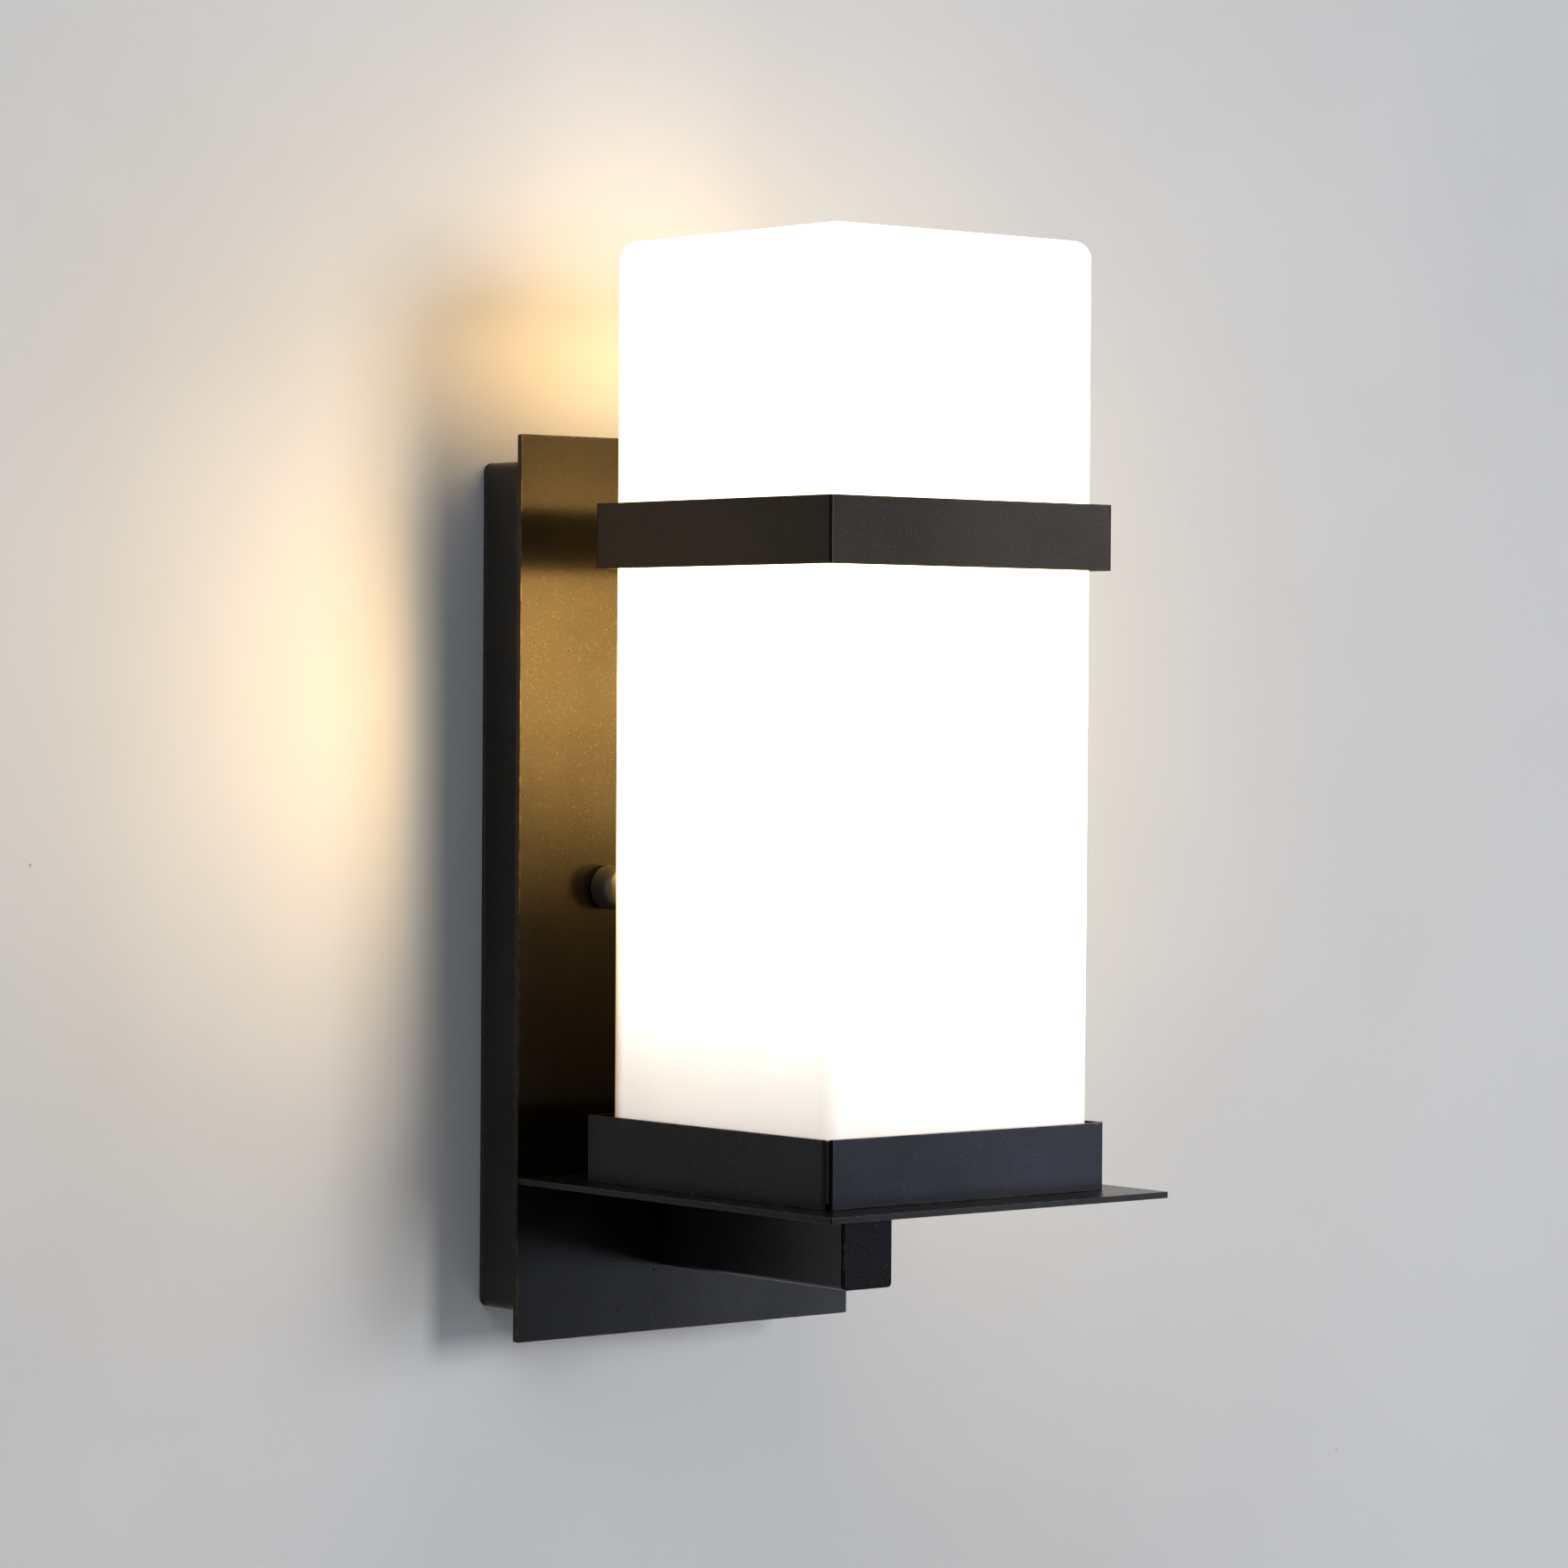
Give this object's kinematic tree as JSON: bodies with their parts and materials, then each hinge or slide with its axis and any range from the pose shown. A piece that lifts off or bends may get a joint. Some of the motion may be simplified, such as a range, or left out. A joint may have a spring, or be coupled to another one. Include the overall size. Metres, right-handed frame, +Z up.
{
  "type": "outdoor wall lantern",
  "caption": "Square opal glass wall lantern standing on a flat shelf, held in a collar and a band, on a slim rectangular back plate and pan.",
  "frame": {"origin": "on the wall plane, in the middle of the crossbar's back face, halfway up the back plate", "axes": "+X to the right, +Y into the wall, +Z up; the shade stands out towards -Y"},
  "size_m": [0.14, 0.1915, 0.355],
  "materials": {
    "bronze_paint": "satin dark bronze powder coat with fine texture",
    "opal_glass": "smooth opal glass, lit from inside",
    "zinc_steel": "zinc plated",
    "brass": "plain",
    "porcelain": "white glaze",
    "silicone": "soft translucent grey",
    "black_rubber": "matte",
    "foam": "closed-cell foam",
    "white_plastic": "satin",
    "frosted_plastic": "frosted, lit from inside",
    "black_insulation": "smooth",
    "white_insulation": "smooth",
    "green_insulation": "smooth",
    "green_screw": "green passivated",
    "orange_plastic": "moulded"
  },
  "bodies": {
    "fixture": {"wall_gasket": "foam", "wall_crossbar": "zinc_steel", "mounting_stud_left": "zinc_steel", "mounting_stud_right": "zinc_steel", "stud_lock_nut_left": "zinc_steel", "stud_lock_nut_right": "zinc_steel", "lower_arm_rear_block": "zinc_steel", "arm_screw_lower": "zinc_steel", "arm_screw_upper": "zinc_steel", "shelf_screw_rear": "zinc_steel", "shelf_screw_front": "zinc_steel", "collar_rivet_front_left": "zinc_steel", "collar_rivet_front_right": "zinc_steel", "collar_rivet_back_left": "zinc_steel", "collar_rivet_back_right": "zinc_steel", "thumb_screw_nut": "zinc_steel", "spacer_screw_left": "zinc_steel", "spacer_screw_right": "zinc_steel", "band_screw_left": "zinc_steel", "band_screw_right": "zinc_steel", "nipple": "zinc_steel", "nipple_lower_nut": "zinc_steel", "nipple_lock_washer": "zinc_steel", "nipple_upper_nut": "zinc_steel", "lampholder_cap": "zinc_steel", "crossbar_ground_screw": "green_screw", "earth_screw": "green_screw", "wall_pan": "bronze_paint", "back_plate": "bronze_paint", "lower_arm_tube": "bronze_paint", "lower_arm_end_cap": "bronze_paint", "shelf": "bronze_paint", "shade_collar": "bronze_paint", "shade_band": "bronze_paint", "band_spacer": "bronze_paint", "shade_cushion": "black_rubber", "wire_grommet": "black_rubber", "band_liner": "silicone", "lampholder_body": "porcelain", "lampholder_screw_shell": "brass", "lampholder_contact": "brass", "lead_black": "black_insulation", "lead_white": "white_insulation", "earth_lead": "green_insulation", "wire_connector_black": "orange_plastic", "wire_connector_white": "orange_plastic"},
    "shade": {"glass_shade": "opal_glass"},
    "bulb_carrier": {"bulb_contact": "brass"},
    "bulb": {"bulb_insulator": "black_rubber", "bulb_screw_cap": "zinc_steel", "bulb_housing": "white_plastic", "bulb_led_board": "white_plastic", "bulb_diffuser": "frosted_plastic"},
    "thumb_tip": {"thumb_screw_tip": "white_plastic"},
    "thumb_screw": {"thumb_screw": "zinc_steel"},
    "washer_left": {"sealing_washer_left": "black_rubber"},
    "nut_left": {"cap_nut_left": "bronze_paint"},
    "washer_right": {"sealing_washer_right": "black_rubber"},
    "nut_right": {"cap_nut_right": "bronze_paint"}
  },
  "joints": [
    {"name": "shade_lift", "type": "slide", "parent": "fixture", "child": "shade", "axis": [0, 0, 1], "range_m": [0, 0.225]},
    {"name": "bulb_rise", "type": "slide", "parent": "fixture", "child": "bulb_carrier", "axis": [0, 0, 1], "range_m": [0, 0.02541]},
    {"name": "bulb_turn", "type": "hinge", "parent": "bulb_carrier", "child": "bulb", "pos_m": [0, -0.117, -0.045], "axis": [0, 0, 1], "range_deg": [0, 2520]},
    {"name": "thumb_tip_slide", "type": "slide", "parent": "fixture", "child": "thumb_tip", "axis": [0, 1, 0], "range_m": [0, 0.0028]},
    {"name": "thumb_screw_turn", "type": "hinge", "parent": "thumb_tip", "child": "thumb_screw", "pos_m": [0, -0.05, -0.0815], "axis": [0, 1, 0], "range_deg": [0, 1440]},
    {"name": "washer_slide_left", "type": "slide", "parent": "fixture", "child": "washer_left", "axis": [0, -1, 0], "range_m": [0, 0.0096]},
    {"name": "cap_nut_turn_left", "type": "hinge", "parent": "washer_left", "child": "nut_left", "pos_m": [-0.035, -0.041, 0], "axis": [0, -1, 0], "range_deg": [0, 4320]},
    {"name": "washer_slide_right", "type": "slide", "parent": "fixture", "child": "washer_right", "axis": [0, -1, 0], "range_m": [0, 0.0096]},
    {"name": "cap_nut_turn_right", "type": "hinge", "parent": "washer_right", "child": "nut_right", "pos_m": [0.035, -0.041, 0], "axis": [0, -1, 0], "range_deg": [0, 4320]}
  ],
  "couplings": [
    {"joint": "bulb_turn", "follows": "bulb_rise", "rad_per_m": 1730.9},
    {"joint": "thumb_screw_turn", "follows": "thumb_tip_slide", "rad_per_m": 8976},
    {"joint": "cap_nut_turn_left", "follows": "washer_slide_left", "rad_per_m": 7854},
    {"joint": "cap_nut_turn_right", "follows": "washer_slide_right", "rad_per_m": 7854}
  ]
}
